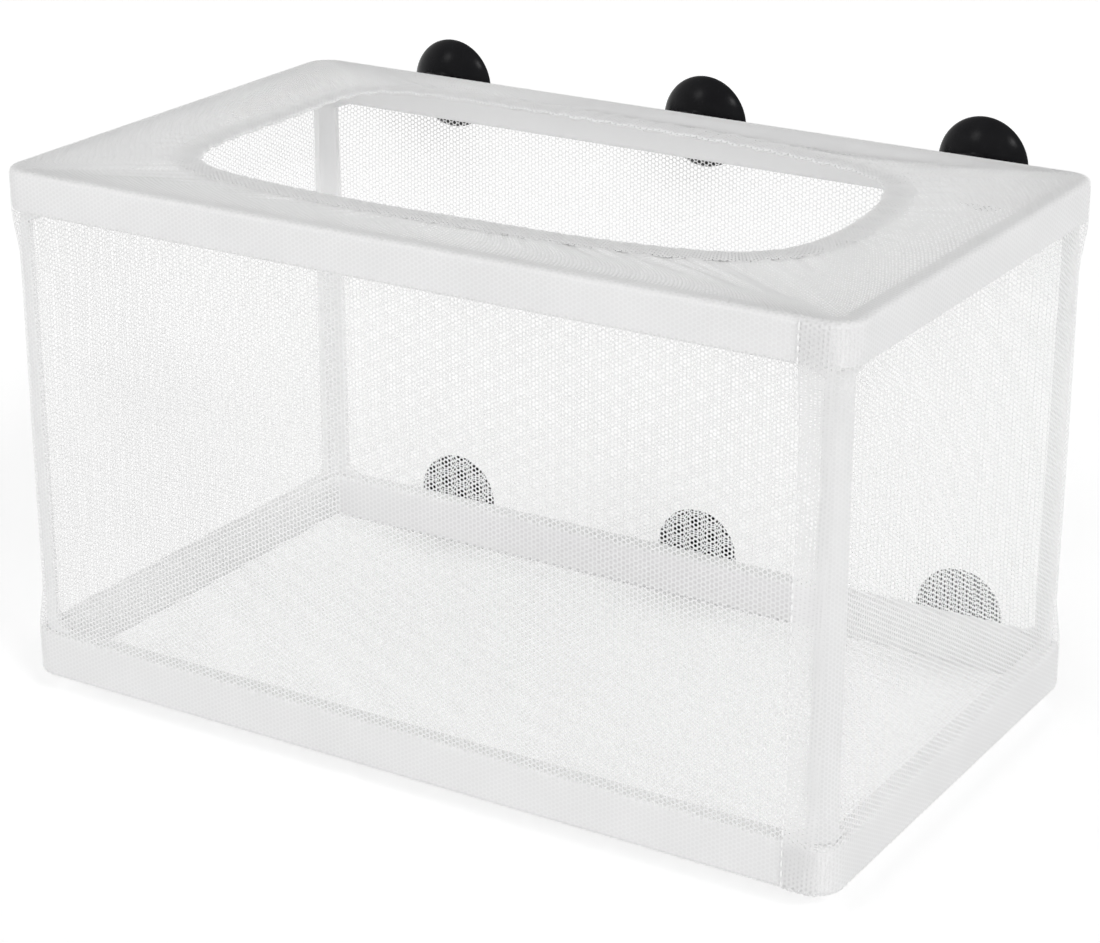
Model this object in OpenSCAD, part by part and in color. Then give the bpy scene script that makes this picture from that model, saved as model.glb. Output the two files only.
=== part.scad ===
// Hanging fish breeding box: a plug-together frame of hollow rails, corner joints and angle posts,
// a fine net bag over it with an elastic opening on top, and six suction cups for the tank glass.
// Millimetres. +X right, -Y front, +Y towards the glass, +Z up.
// The origin lies at the bottom centre of the whole outline, suction cups included.

/* [Bag size] */
// Width of the bag, measured over the net
box_w = 265; // [225:1:340]
// Depth of the bag, front to back, measured over the net
box_d = 155; // [140:1:220]
// Height of the bag, measured over the net
box_h = 155; // [80:1:220]
// Thickness of the net cloth
net_t = 0.6; // [0.3:0.1:1]

/* [Frame rails] */
// Height of a bottom rail, as the band that shows around the bag
rail_h = 14; // [12:0.5:18]
// Height of a top rail
top_rail_h = 12; // [12:0.5:16]
// Depth of a rail, from its outer face to its inner face
rail_depth = 6.5; // [6.2:0.1:8]
// Wall thickness of the hollow rails
rail_wall = 1.5; // [1.2:0.1:1.8]
// Rounding of the rails' long edges
rail_edge_r = 1.5; // [0.6:0.1:2.5]
// Radius of the frame's upright corners, over the plastic
corner_r = 8; // [6.5:0.5:12]

/* [Corner joints] */
// Length of a joint along each side, from the outer corner
joint_leg = 20; // [17:0.5:26]
// Length of the tongue that plugs into a rail
tongue_len = 12; // [6:0.5:20]
// Plastic outside the post in a joint
socket_wall = 2; // [1.2:0.1:2.2]
// Depth of the socket that takes a post
socket_depth = 10; // [6:0.5:11]
// Play around tongues and posts
fit_gap = 0.12; // [0.05:0.01:0.2]

/* [Posts] */
// Width of each leg of the angle post
post_leg = 11; // [8:0.5:12]
// Wall thickness of the post
post_t = 2.2; // [1.6:0.1:2.4]

/* [Net] */
// Distance between the drawn six-sided openings of the net
net_pitch = 12.5; // [12:0.5:20]
// Width of the drawn strands between openings
strand_w = 2.4; // [1:0.1:4]
// Least plain border between the posts or rails and the first openings
net_margin = 2; // [1:0.5:5]

/* [Top cover] */
// Width of the elastic opening
open_w = 190; // [140:1:196]
// Depth of the elastic opening
open_d = 102; // [60:1:106]
// How far the opening's middle lies in front of the bag's middle, or behind it below 0
open_forward = -2.5; // [-4:0.5:6]
// Squareness of the opening's front edge, where 2 is an ellipse
open_front_power = 4; // [2:0.5:6]
// Squareness of the opening's back edge, where 2 is an ellipse
open_back_power = 5; // [2:0.5:6]
// How far the opening's edge hangs below the top of the bag
cover_drop = 2.2; // [1:0.1:6]
// Height of the gathered folds beside the hem, either way from the middle
fold_height = 0.9; // [0:0.1:2]
// Number of gathered folds around the opening
fold_count = 26; // [8:1:30]

/* [Hem and elastic] */
// Width of the hem that holds the elastic
hem_w = 8; // [7:0.5:9]
// Thickness of the hem over the elastic
hem_t = 2.6; // [2.4:0.1:3.5]
// Width of the elastic band
elastic_w = 5.4; // [3:0.1:5.8]
// Thickness of the elastic band
elastic_t = 1.1; // [0.6:0.1:1.2]
// Play around the elastic in its hem
elastic_gap = 0.15; // [0.05:0.05:0.3]
// Gap at the seam between cover and hem
seam_gap = 0.3; // [0.2:0.05:0.5]

/* [Suction cups] */
// Diameter of a cup's rim
cup_d = 28; // [24:1:34]
// Distance from the rail's outer face to the rim
cup_len = 15; // [13.5:0.5:20]
// Gap inside a rail between a joint's tongue and the head of an outer cup
cup_clear = 4.8; // [1:0.1:8]
// Thickness of the rubber at the rim
cup_lip = 1.4; // [1:0.1:2.5]
// Thickness of the rubber at the middle of the dome
cup_crown = 2.6; // [1.5:0.1:3]
// Height of the straight band behind the dome, at the rim
cup_band = 1; // [0.5:0.1:2]
// Diameter of the neck in the rail
neck_d = 6; // [4:0.2:7]
// Diameter of the head inside the rail
head_d = 8.2; // [7.4:0.2:8.8]
// Thickness of the head inside the rail
head_t = 2.4; // [1.5:0.1:2.5]
// Diameter of the collar that lies on the net
collar_d = 12; // [9:0.5:14]
// Thickness of the collar
collar_t = 2; // [1.4:0.1:2.6]
// Running clearance between neck and rail, on the radius
neck_gap = 0.05; // [0.02:0.01:0.1]
// Play between a cup and the faces at its neck, along its axis
end_gap = 0.25; // [0.1:0.05:0.3]

/* [Colours] */
// Frame plastic
frame_colour = "#EDEDEC";
// Net cloth
net_colour = "#F5F5F4";
// Hem cloth
hem_colour = "#E6E6E5";
// Elastic band
elastic_colour = "#FAFAF8";
// Suction cup rubber
rubber_colour = "#141414";

/* [Hidden] */
$fn = 48;
// The frame's outer sizes, under the net
frame_w = box_w - 2 * net_t;
frame_d = box_d - 2 * net_t;
frame_h = box_h - 2 * net_t;
bag_r = corner_r + net_t;
// The posts' outer faces, inwards from the frame's outer faces
post_inset = socket_wall + fit_gap;
post_low = rail_h - socket_depth;
post_len = frame_h - post_low - (top_rail_h - socket_depth);
post_side = post_leg + post_inset;
// The net's plane between the rings, inwards from the bag's outer face
wall_inset = post_inset;
// Rounding of the net over the rails' long edges
edge_r = rail_edge_r + net_t;
// Heights inside the bag, from its underside
ring_low = net_t;
ring_low_top = net_t + rail_h;
ring_high = box_h - net_t - top_rail_h;
// Cups, from the bag's middle
cup_r = cup_d / 2;
cup_pitch = frame_w / 2 - joint_leg - tongue_len - cup_clear - head_d / 2;
cup_low = net_t + rail_h / 2;
cup_high = box_h - net_t - top_rail_h / 2;
rail_face_y = box_d / 2 - net_t;
hole_r = neck_d / 2 + neck_gap;
// The whole outline, to which the origin belongs
cup_reach = cup_len - net_t;
lift = max(0, cup_r - cup_low);
shift_y = -cup_reach / 2;
// Steps around the opening, four to a fold, and rings across the cover
around = 4 * fold_count;
rings = 5;
big = box_w + box_d;

// Rectangle with four round corners, about the origin
module round_rect(w, h, r) {
  square([w - 2 * r, h], center = true);
  square([w, h - 2 * r], center = true);
  for (x = [-1, 1], y = [-1, 1])
    translate([x * (w / 2 - r), y * (h / 2 - r)]) circle(r);
}

// Square from the origin, with a round corner there
module corner_square(side, r) {
  translate([r, 0]) square([side - r, side]);
  translate([0, r]) square([side, side - r]);
  translate([r, r]) circle(r);
}

// Puts a child drawn around the bag's middle, with its underside at 0, into the row's frame
module in_place() {
  translate([0, shift_y, lift]) children();
}

// Places a child drawn in the low front left corner, where [0, 0, 0] is the frame's outer corner
module at_corner(right, back, top) {
  in_place()
    mirror([right, 0, 0])
      mirror([0, back, 0])
        translate([-frame_w / 2, -frame_d / 2, top ? box_h - net_t : net_t])
          mirror([0, 0, top])
            children();
}

// Height of the top or bottom rails
function ring_h(top) = top ? top_rail_h : rail_h;

// The rails' cross-section, solid: depth along X, height along Y
module rail_section(height) {
  round_rect(rail_depth, height, rail_edge_r);
}

// The hollow of a rail, drawn smaller by play on every side for the tongue
module rail_bore(height, play) {
  bore_r = max(rail_edge_r - rail_wall, 0.4);
  round_rect(rail_depth - 2 * (rail_wall + play), height - 2 * (rail_wall + play), bore_r);
}

// A straight hollow rail along X, its outer face at Y = 0 and its underside at Z = 0
module rail(length, height) {
  translate([0, rail_depth / 2, height / 2])
    rotate([90, 0, 90])
      linear_extrude(length, center = true)
        difference() {
          rail_section(height);
          rail_bore(height, 0);
        }
}

// Round holes through the outer wall of a rail, for the necks of the suction cups
module neck_holes(height) {
  for (i = [-1, 0, 1])
    translate([i * cup_pitch, 0, height / 2])
      rotate([90, 0, 0])
        cylinder(h = 2 * rail_wall + 1, r = hole_r, center = true);
}

module long_rail(back, top) {
  in_place()
    mirror([0, back, 0])
      translate([0, -frame_d / 2, top ? ring_high : ring_low])
        difference() {
          rail(frame_w - 2 * joint_leg, ring_h(top));
          if (back == 1) neck_holes(ring_h(top));
        }
}

module short_rail(right, top) {
  in_place()
    mirror([right, 0, 0])
      translate([-frame_w / 2, 0, top ? ring_high : ring_low])
        rotate([0, 0, 90])
          mirror([0, 1, 0])
            rail(frame_d - 2 * joint_leg, ring_h(top));
}

// The angle post's cross-section, its outer corner at the origin, drawn larger by play
module post_section(play) {
  translate([-play, -play])
    difference() {
      corner_square(post_leg + 2 * play, corner_r - post_inset + play);
      translate([post_t + 2 * play, post_t + 2 * play])
        corner_square(post_leg + 2 * play, max(corner_r - post_inset - post_t - play, 0.5));
    }
}

module post(right, back) {
  at_corner(right, back, 0)
    translate([post_inset, post_inset, post_low])
      linear_extrude(post_len) post_section(0);
}

// One leg of a joint along X with the tongue that plugs into the rail
module joint_arm(height) {
  translate([corner_r, rail_depth / 2, height / 2])
    rotate([90, 0, 90]) {
      linear_extrude(joint_leg - corner_r) rail_section(height);
      linear_extrude(joint_leg - corner_r + tongue_len) rail_bore(height, fit_gap);
    }
}

// The bend between the two arms, with the rails' own section
module joint_bend(height) {
  translate([corner_r, corner_r, height / 2])
    rotate([0, 0, 180])
      rotate_extrude(angle = 90)
        translate([corner_r - rail_depth / 2, 0]) rail_section(height);
}

// A moulded corner joint: a bend, two arms with tongues and the socket that takes a post
module joint(right, back, top) {
  height = ring_h(top == 1);
  at_corner(right, back, top)
    difference() {
      union() {
        joint_bend(height);
        joint_arm(height);
        mirror([1, -1, 0]) joint_arm(height);
      }
      translate([post_inset, post_inset, height - socket_depth])
        linear_extrude(height) post_section(fit_gap);
    }
}

// Outline of the bag, inwards from its outer face
module bag_outline(inset) {
  round_rect(box_w - 2 * inset, box_d - 2 * inset, bag_r - inset);
}

// Skin of net round the outer side of a rail, from the bag's underside to the wall's panel.
// Depth inwards from the bag's outer face along X, height along Y.
module band_section(height) {
  intersection() {
    translate([net_t + rail_depth / 2, net_t + height / 2])
      difference() {
        round_rect(rail_depth + 2 * net_t, height + 2 * net_t, edge_r);
        rail_section(height);
      }
    union() {
      square([edge_r, height / 2 + net_t]);
      translate([0, height / 2]) square([wall_inset + net_t, height]);
    }
  }
}

// Cross-section of a wall: the skin over both rings and the panel set back between them
module wall_section() {
  band_section(rail_h);
  translate([0, box_h]) mirror([0, 1, 0]) band_section(top_rail_h);
  translate([wall_inset, ring_low_top]) square([net_t, ring_high - ring_low_top]);
}

// Rows of six-sided openings, staggered as in the net, as many as fit a field about the origin
module net_gaps(field_w, field_h) {
  gap_r = (net_pitch - strand_w) / sqrt(3);
  step = net_pitch * sqrt(3) / 2;
  columns = floor((field_w / 2 - gap_r) / step);
  room = (field_h / 2 - (net_pitch - strand_w) / 2) / net_pitch;
  for (i = [-columns : columns]) {
    stagger = i % 2 == 0 ? 0 : 0.5;
    rows = floor(room + stagger);
    for (j = [-rows : rows - 2 * stagger])
      translate([i * step, (j + stagger) * net_pitch]) circle(gap_r, $fn = 6);
  }
}

// A wall of the bag with its share of the upright corners, drawn as the front wall.
// long_side is the outer length of this wall, across_side the bag's size square to it.
module wall_net(long_side, across_side) {
  field_w = long_side - 2 * (net_t + post_side + net_margin);
  field_low = ring_low_top + net_t + net_margin;
  field_high = ring_high - net_t - net_margin;
  difference() {
    union() {
      translate([0, -across_side / 2, 0])
        rotate([90, 0, 90])
          linear_extrude(long_side - 2 * bag_r, center = true) wall_section();
      for (side = [0, 1])
        mirror([side, 0, 0])
          translate([long_side / 2 - bag_r, bag_r - across_side / 2, 0])
            rotate([0, 0, -90])
              rotate_extrude(angle = 45)
                translate([bag_r, 0]) mirror([1, 0, 0]) wall_section();
    }
    translate([0, -across_side / 2, (field_low + field_high) / 2])
      rotate([90, 0, 0])
        linear_extrude(2 * bag_r, center = true) net_gaps(field_w, field_high - field_low);
  }
}

module net_front() {
  color(net_colour) in_place() wall_net(box_w, box_d);
}

module net_back() {
  color(net_colour)
    in_place()
      difference() {
        mirror([0, 1, 0]) wall_net(box_w, box_d);
        for (i = [-1, 0, 1], z = [cup_low, cup_high])
          translate([i * cup_pitch, box_d / 2, z])
            rotate([90, 0, 0])
              cylinder(h = 3 * net_t, r = hole_r + end_gap, center = true);
      }
}

module net_left() {
  color(net_colour) in_place() rotate([0, 0, -90]) wall_net(box_d, box_w);
}

module net_right() {
  color(net_colour) in_place() rotate([0, 0, 90]) wall_net(box_d, box_w);
}

module net_floor() {
  border = net_t + rail_depth + net_margin;
  color(net_colour)
    in_place()
      linear_extrude(net_t)
        difference() {
          bag_outline(edge_r);
          net_gaps(box_w - 2 * border, box_d - 2 * border);
        }
}

// Distance from the middle to a rectangle with round corners, at an angle
function rect_reach(angle, half_w, half_h, r) =
  let(
    c = abs(cos(angle)),
    s = abs(sin(angle)),
    flat = min(c > 0 ? half_w / c : big, s > 0 ? half_h / s : big),
    px = half_w - r,
    py = half_h - r,
    along = px * c + py * s,
    in_corner = flat * c > px && flat * s > py
  )
  in_corner ? along + sqrt(max(along * along - px * px - py * py + r * r, 0)) : flat;

// Point on the opening's edge at an angle, moved outwards by grow
function open_point(angle, grow) =
  let(
    power = sin(angle) < 0 ? open_front_power : open_back_power,
    u = pow(abs(cos(angle)) / (open_w / 2 + grow), power),
    v = pow(abs(sin(angle)) / (open_d / 2 + grow), power),
    reach = pow(u + v, -1 / power)
  )
  [reach * cos(angle), reach * sin(angle) - open_forward];

function outline_point(angle, inset) =
  let(reach = rect_reach(angle, box_w / 2 - inset, box_d / 2 - inset, bag_r - inset))
  [reach * cos(angle), reach * sin(angle)];

function loop(grow) = [for (i = [0 : around - 1]) open_point(360 * i / around, grow)];

// The cover's rings: the bag's edge, the rail's inner edge, then on to the hem with rising folds
function cover_share(k) = k < 2 ? 0 : (k - 1) / (rings - 2);

function cover_point(i, k) =
  let(
    angle = 360 * i / around,
    rim = outline_point(angle, k == 0 ? edge_r : net_t + rail_depth),
    hem = open_point(angle, hem_w + seam_gap),
    share = cover_share(k),
    flat = rim + (hem - rim) * share,
    fold = fold_height * pow(share, 1.5) * (i % 4 < 2 ? 1 : -1) * (0.7 + 0.3 * sin(7 * angle))
  )
  [flat[0], flat[1], box_h - cover_drop * pow(share, 1.3) + fold];

module net_top() {
  upper = [for (k = [0 : rings - 1], i = [0 : around - 1]) cover_point(i, k)];
  lower = [for (p = upper) p - [0, 0, net_t]];
  count = rings * around;
  strips = [
    for (k = [0 : rings - 2], i = [0 : around - 1])
      let(
        j = (i + 1) % around,
        a = k * around + i,
        b = k * around + j,
        c = (k + 1) * around + j,
        d = (k + 1) * around + i
      )
      each [
        [a, b, c], [a, c, d],
        [count + c, count + b, count + a], [count + d, count + c, count + a]
      ]
  ];
  edges = [
    for (i = [0 : around - 1])
      let(j = (i + 1) % around, in_i = (rings - 1) * around + i, in_j = (rings - 1) * around + j)
      each [
        [i, count + i, count + j], [i, count + j, j],
        [in_j, count + in_j, count + in_i], [in_j, count + in_i, in_i]
      ]
  ];
  color(net_colour)
    in_place()
      polyhedron(points = concat(upper, lower), faces = concat(strips, edges), convexity = 10);
}

// Flat ring that follows the opening, between two distances outwards from its edge
module opening_ring(inner, outer, thickness) {
  translate([0, 0, box_h - net_t / 2 - cover_drop])
    linear_extrude(thickness, center = true)
      difference() {
        polygon(loop(outer));
        polygon(loop(inner));
      }
}

module opening_hem() {
  side = (hem_w - elastic_w) / 2 - elastic_gap;
  color(hem_colour)
    in_place()
      difference() {
        opening_ring(0, hem_w, hem_t);
        opening_ring(side, hem_w - side, elastic_t + 2 * elastic_gap);
      }
}

module elastic_band() {
  side = (hem_w - elastic_w) / 2;
  color(elastic_colour) in_place() opening_ring(side, hem_w - side, elastic_t);
}

// Half section of a cup, axis along Y, the rail's outer face at Y = 0 and the glass at cup_len
module cup_section() {
  dome_low = net_t + end_gap + collar_t / 2;
  dome_top = cup_len - cup_band;
  dome_r = dome_top - dome_low;
  hub_r = cup_r - dome_r;
  hollow_r = dome_r - cup_lip;
  difference() {
    union() {
      translate([0, -rail_wall - end_gap - head_t]) square([head_d / 2, head_t]);
      translate([0, -rail_wall - end_gap]) square([neck_d / 2, cup_len / 2]);
      translate([0, net_t + end_gap]) square([collar_d / 2, collar_t]);
      intersection() {
        union() {
          translate([hub_r, dome_top]) circle(dome_r);
          translate([0, dome_low]) square([hub_r, dome_r]);
        }
        translate([0, dome_low]) square([cup_r, dome_r]);
      }
      translate([0, dome_top]) square([cup_r, cup_band]);
    }
    translate([hub_r, cup_len]) circle(hollow_r);
    translate([-1, dome_low + cup_crown]) square([hub_r + 1, cup_len]);
    translate([-big, -big / 2]) square([big, big]);
  }
}

module suction_cup(column, z) {
  color(rubber_colour)
    in_place()
      translate([column * cup_pitch, rail_face_y, z])
        rotate([-90, 0, 0])
          rotate_extrude() cup_section();
}

module top_rail_front() { color(frame_colour) long_rail(0, true); }
module top_rail_back() { color(frame_colour) long_rail(1, true); }
module top_rail_left() { color(frame_colour) short_rail(0, true); }
module top_rail_right() { color(frame_colour) short_rail(1, true); }
module bottom_rail_front() { color(frame_colour) long_rail(0, false); }
module bottom_rail_back() { color(frame_colour) long_rail(1, false); }
module bottom_rail_left() { color(frame_colour) short_rail(0, false); }
module bottom_rail_right() { color(frame_colour) short_rail(1, false); }
module post_front_left() { color(frame_colour) post(0, 0); }
module post_front_right() { color(frame_colour) post(1, 0); }
module post_back_left() { color(frame_colour) post(0, 1); }
module post_back_right() { color(frame_colour) post(1, 1); }
module top_joint_front_left() { color(frame_colour) joint(0, 0, 1); }
module top_joint_front_right() { color(frame_colour) joint(1, 0, 1); }
module top_joint_back_left() { color(frame_colour) joint(0, 1, 1); }
module top_joint_back_right() { color(frame_colour) joint(1, 1, 1); }
module bottom_joint_front_left() { color(frame_colour) joint(0, 0, 0); }
module bottom_joint_front_right() { color(frame_colour) joint(1, 0, 0); }
module bottom_joint_back_left() { color(frame_colour) joint(0, 1, 0); }
module bottom_joint_back_right() { color(frame_colour) joint(1, 1, 0); }
module suction_cup_top_left() { suction_cup(-1, cup_high); }
module suction_cup_top_middle() { suction_cup(0, cup_high); }
module suction_cup_top_right() { suction_cup(1, cup_high); }
module suction_cup_bottom_left() { suction_cup(-1, cup_low); }
module suction_cup_bottom_middle() { suction_cup(0, cup_low); }
module suction_cup_bottom_right() { suction_cup(1, cup_low); }

top_rail_front();
top_rail_back();
top_rail_left();
top_rail_right();
bottom_rail_front();
bottom_rail_back();
bottom_rail_left();
bottom_rail_right();
post_front_left();
post_front_right();
post_back_left();
post_back_right();
top_joint_front_left();
top_joint_front_right();
top_joint_back_left();
top_joint_back_right();
bottom_joint_front_left();
bottom_joint_front_right();
bottom_joint_back_left();
bottom_joint_back_right();
net_front();
net_back();
net_left();
net_right();
net_floor();
net_top();
opening_hem();
elastic_band();
suction_cup_top_left();
suction_cup_top_middle();
suction_cup_top_right();
suction_cup_bottom_left();
suction_cup_bottom_middle();
suction_cup_bottom_right();
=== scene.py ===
import math

import bpy
import numpy as np
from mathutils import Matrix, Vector


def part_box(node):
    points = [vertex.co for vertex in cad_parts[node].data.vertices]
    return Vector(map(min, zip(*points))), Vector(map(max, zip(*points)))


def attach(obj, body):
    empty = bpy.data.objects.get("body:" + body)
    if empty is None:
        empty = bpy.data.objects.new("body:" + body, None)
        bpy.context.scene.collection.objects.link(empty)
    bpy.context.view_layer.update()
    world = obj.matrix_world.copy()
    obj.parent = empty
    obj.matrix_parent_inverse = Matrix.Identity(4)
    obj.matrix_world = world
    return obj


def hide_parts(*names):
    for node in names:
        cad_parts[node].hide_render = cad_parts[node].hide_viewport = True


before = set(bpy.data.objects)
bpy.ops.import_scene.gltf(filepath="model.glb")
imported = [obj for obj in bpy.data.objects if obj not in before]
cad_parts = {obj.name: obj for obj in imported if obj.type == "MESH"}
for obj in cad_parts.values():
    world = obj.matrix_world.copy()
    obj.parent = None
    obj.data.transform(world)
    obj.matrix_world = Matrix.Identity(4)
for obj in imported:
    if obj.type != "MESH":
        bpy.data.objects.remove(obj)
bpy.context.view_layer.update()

mm = 0.001


# camera
cameraSet = {
    "azimuth": 31.6,        # degrees round from the front, towards the right
    "elevation": 21.44,
    "distance": 0.850,
    "aim": (0.0031, -0.0102, 0.0734),
    "lens": 97.1,
}


def addCamera():
    turn, tilt = math.radians(cameraSet["azimuth"]), math.radians(cameraSet["elevation"])
    away = Vector((math.sin(turn) * math.cos(tilt), -math.cos(turn) * math.cos(tilt), math.sin(tilt)))
    camera = bpy.data.objects.new("camera", bpy.data.cameras.new("camera"))
    camera.location = Vector(cameraSet["aim"]) + away * cameraSet["distance"]
    camera.rotation_euler = away.to_track_quat("Z", "Y").to_euler()
    camera.data.lens = cameraSet["lens"]
    camera.data.clip_start = 0.01
    camera.data.clip_end = 50
    bpy.context.collection.objects.link(camera)
    bpy.context.scene.camera = camera


addCamera()
print("camera placed")


# the bag's surface: s runs round the walls from the front's middle, v up the wall and in over the top
bag = {
    "halfWidth": 132.5, "halfDepth": 77.5, "height": 155.0,
    "cornerRadius": 8.6, "edgeRadius": 2.1,
    "middleY": -7.2, "underside": 6.4,    # where the bag stands in the frame
    "clothInset": 0.3,                    # middle of the cloth, in from the bag's outer face
    "postInset": 1.6,                     # further in, where it is drawn to the posts
    "lowBand": 13.6, "highBand": 11.6,    # the cloth lies on the rings for this height
    "postReach": 8.0,                     # how far round from a corner's middle the post holds the cloth
    "cornerRamp": 16.0,                   # height in which the cloth goes from a ring in to the post
    "rampGrows": 0.8, "longRamp": 40,     # away from the post that height grows, up to this much
    "slackRun": 35.0,                     # the pull of a post dies away over this length
    "slack": 0.12, "slackRamp": 30,       # depth of the net's unevenness, and the height in which it sets in
}
cornerArc = bag["cornerRadius"] * math.pi / 2
coreX = bag["halfWidth"] - bag["cornerRadius"]
coreY = bag["halfDepth"] - bag["cornerRadius"]
turns = np.cumsum([0, coreX, cornerArc, 2 * coreY, cornerArc,
                   2 * coreX, cornerArc, 2 * coreY, cornerArc, coreX])
around = turns[-1]
cornerMiddles = [(turns[k] + turns[k + 1]) / 2 for k in (1, 3, 5, 7)]
edgeArc = (bag["edgeRadius"] - bag["clothInset"]) * math.pi / 2
wallUp = 2 * edgeArc + bag["height"] - 2 * bag["edgeRadius"]


def outline(s, inset):
    # point and outward heading of the rounded rectangle, at a distance in from the bag's outer face
    s = np.mod(s, around)
    heading = np.interp(s, turns, np.radians([0, 0, 90, 90, 180, 180, 270, 270, 360, 360]))
    x = np.interp(s, turns, [0, coreX, coreX, coreX, coreX, -coreX, -coreX, -coreX, -coreX, 0])
    y = np.interp(s, turns, [-coreY, -coreY, -coreY, coreY, coreY, coreY, coreY, -coreY, -coreY, -coreY])
    out = bag["cornerRadius"] - inset
    return x + out * np.sin(heading), y - out * np.cos(heading), np.sin(heading), -np.cos(heading)


def smooth(t):
    # 0 to 1 with an easy start and end
    t = np.clip(t, 0, 1)
    return t * t * (3 - 2 * t)


def fromCorner(s):
    # length round the bag to the nearest corner's middle
    s = np.mod(s, around)
    return np.min([np.minimum(abs(s - c), around - abs(s - c)) for c in cornerMiddles], axis=0)


def unevenness(s, z):
    # long shallow waves, as the net isn't pulled quite flat
    return bag["slack"] * np.sin(s / 17.0 + 1.3 * np.sin(z / 41.0)) * np.sin(z / 23.0 + s / 61.0)


def wallInset(s, z):
    # on the rings the cloth lies flush, between them the posts draw it in
    beyond = np.maximum(fromCorner(s) - bag["postReach"], 0)
    pull = bag["postInset"] * np.exp(-beyond / bag["slackRun"])
    ramp = np.minimum(bag["cornerRamp"] + bag["rampGrows"] * beyond, bag["longRamp"])
    clear = np.minimum(z - bag["lowBand"], bag["height"] - bag["highBand"] - z)
    slack = unevenness(s, z) * smooth(clear / bag["slackRamp"])
    return bag["clothInset"] + pull * smooth(clear / ramp) + slack


def inPlace(x, y, z):
    # from the bag's own millimetres to the frame's
    return np.stack([x, y + bag["middleY"], z + bag["underside"]], axis=-1)


def wallPoint(s, v, lining=0.0):
    # lining: how far inside the cloth's middle
    low = np.clip(v / edgeArc, 0, 1) * math.pi / 2
    high = np.clip((v - wallUp + edgeArc) / edgeArc, 0, 1) * math.pi / 2
    fillet = bag["edgeRadius"] - bag["clothInset"] - lining
    straight = np.clip(v - edgeArc, 0, wallUp - 2 * edgeArc)
    z = bag["edgeRadius"] - fillet * np.cos(low) + straight + fillet * np.sin(high)
    inset = wallInset(s, z) + lining + fillet * (2 - np.sin(low) - np.cos(high))
    x, y, _, _ = outline(s, inset)
    return inPlace(x, y, z)


# the opening's edge, held by the elastic
opening = {
    # edge of the opening, from the front's middle round by the right, in the bag's own millimetres
    "edge": [(0, -47), (30, -45.8), (50, -43.8), (65, -41), (78, -36.6), (86.5, -29.5), (91, -20),
             (92.8, -6), (92.4, 8), (91, 20), (88, 30.5), (83, 39), (74, 45), (60, 49), (38, 52.6),
             (16, 54.6), (-10, 55.4), (-38, 55.8), (-64, 55.6), (-82, 54), (-92, 49.2), (-96.3, 40),
             (-97, 26), (-97.6, 10), (-98, -5), (-97.6, -19), (-95.4, -30), (-89.5, -38.4),
             (-78, -43.6), (-58, -46.4), (-38, -47.6), (-18, -47.8)],
    "hemWidth": 8.0,
    "frontHeight": 153.5, "backHeight": 154.1,    # height of the hem's middle over the bag's underside
    "riseFrom": 5, "riseRun": 45,                 # where the one goes over into the other, towards the back
    "pucker": 0.12,                               # height of the hem's puckers
    "gathers": 118,
    "bySides": 0.6,                               # how far the gathers keep to their side; else shared evenly
    "gatherBlend": 31,                            # length over which a corner of the sharing is evened out
}


def closedCurve(points, count):
    # smooth closed curve through the points, in steps of equal length
    points = np.array(points, dtype=float)
    before, after, beyond = np.roll(points, 1, 0), np.roll(points, -1, 0), np.roll(points, -2, 0)
    between = 40
    t = np.linspace(0, 1, between, endpoint=False)[None, :, None]
    p0, p1, p2, p3 = before[:, None], points[:, None], after[:, None], beyond[:, None]
    fine = 0.5 * (2 * p1 + (p2 - p0) * t + (2 * p0 - 5 * p1 + 4 * p2 - p3) * t ** 2
                  + (3 * p1 - p0 - 3 * p2 + p3) * t ** 3)
    fine = fine.reshape(-1, 2)
    loop = np.vstack([fine, fine[:1]])
    length = np.r_[0, np.cumsum(np.linalg.norm(np.diff(loop, axis=0), axis=1))]
    at = np.linspace(0, length[-1], count + 1)
    return np.stack([np.interp(at, length, loop[:, k]) for k in (0, 1)], axis=-1), at


edgeLoop, edgeAt = closedCurve(opening["edge"], 1440)
edgeLength = edgeAt[-1]
# which way is out at each place along the edge, evened out so that the hem's rows don't cross in the bends
loopTangent = np.roll(edgeLoop[:-1], -3, 0) - np.roll(edgeLoop[:-1], 3, 0)
loopTangent /= np.linalg.norm(loopTangent, axis=1)[:, None]
loopOut = np.stack([loopTangent[:, 1], -loopTangent[:, 0]], axis=-1)
for _ in range(30):
    loopOut = (np.roll(loopOut, 1, 0) + 2 * loopOut + np.roll(loopOut, -1, 0)) / 4
loopOut /= np.linalg.norm(loopOut, axis=1)[:, None]
loopOut = np.vstack([loopOut, loopOut[:1]])


def edgePoint(e, out):
    # point of the opening's plane: e along its edge, out from the edge into the cover
    e = np.mod(e, edgeLength)
    at = [np.interp(e, edgeAt, edgeLoop[:, k]) for k in (0, 1)]
    way = [np.interp(e, edgeAt, loopOut[:, k]) for k in (0, 1)]
    return at[0] + way[0] * out, at[1] + way[1] * out


def hemHeight(e):
    x, y = edgePoint(e, 0.0)
    rise = smooth((y - opening["riseFrom"]) / opening["riseRun"])
    return opening["frontHeight"] + (opening["backHeight"] - opening["frontHeight"]) * rise


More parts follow.
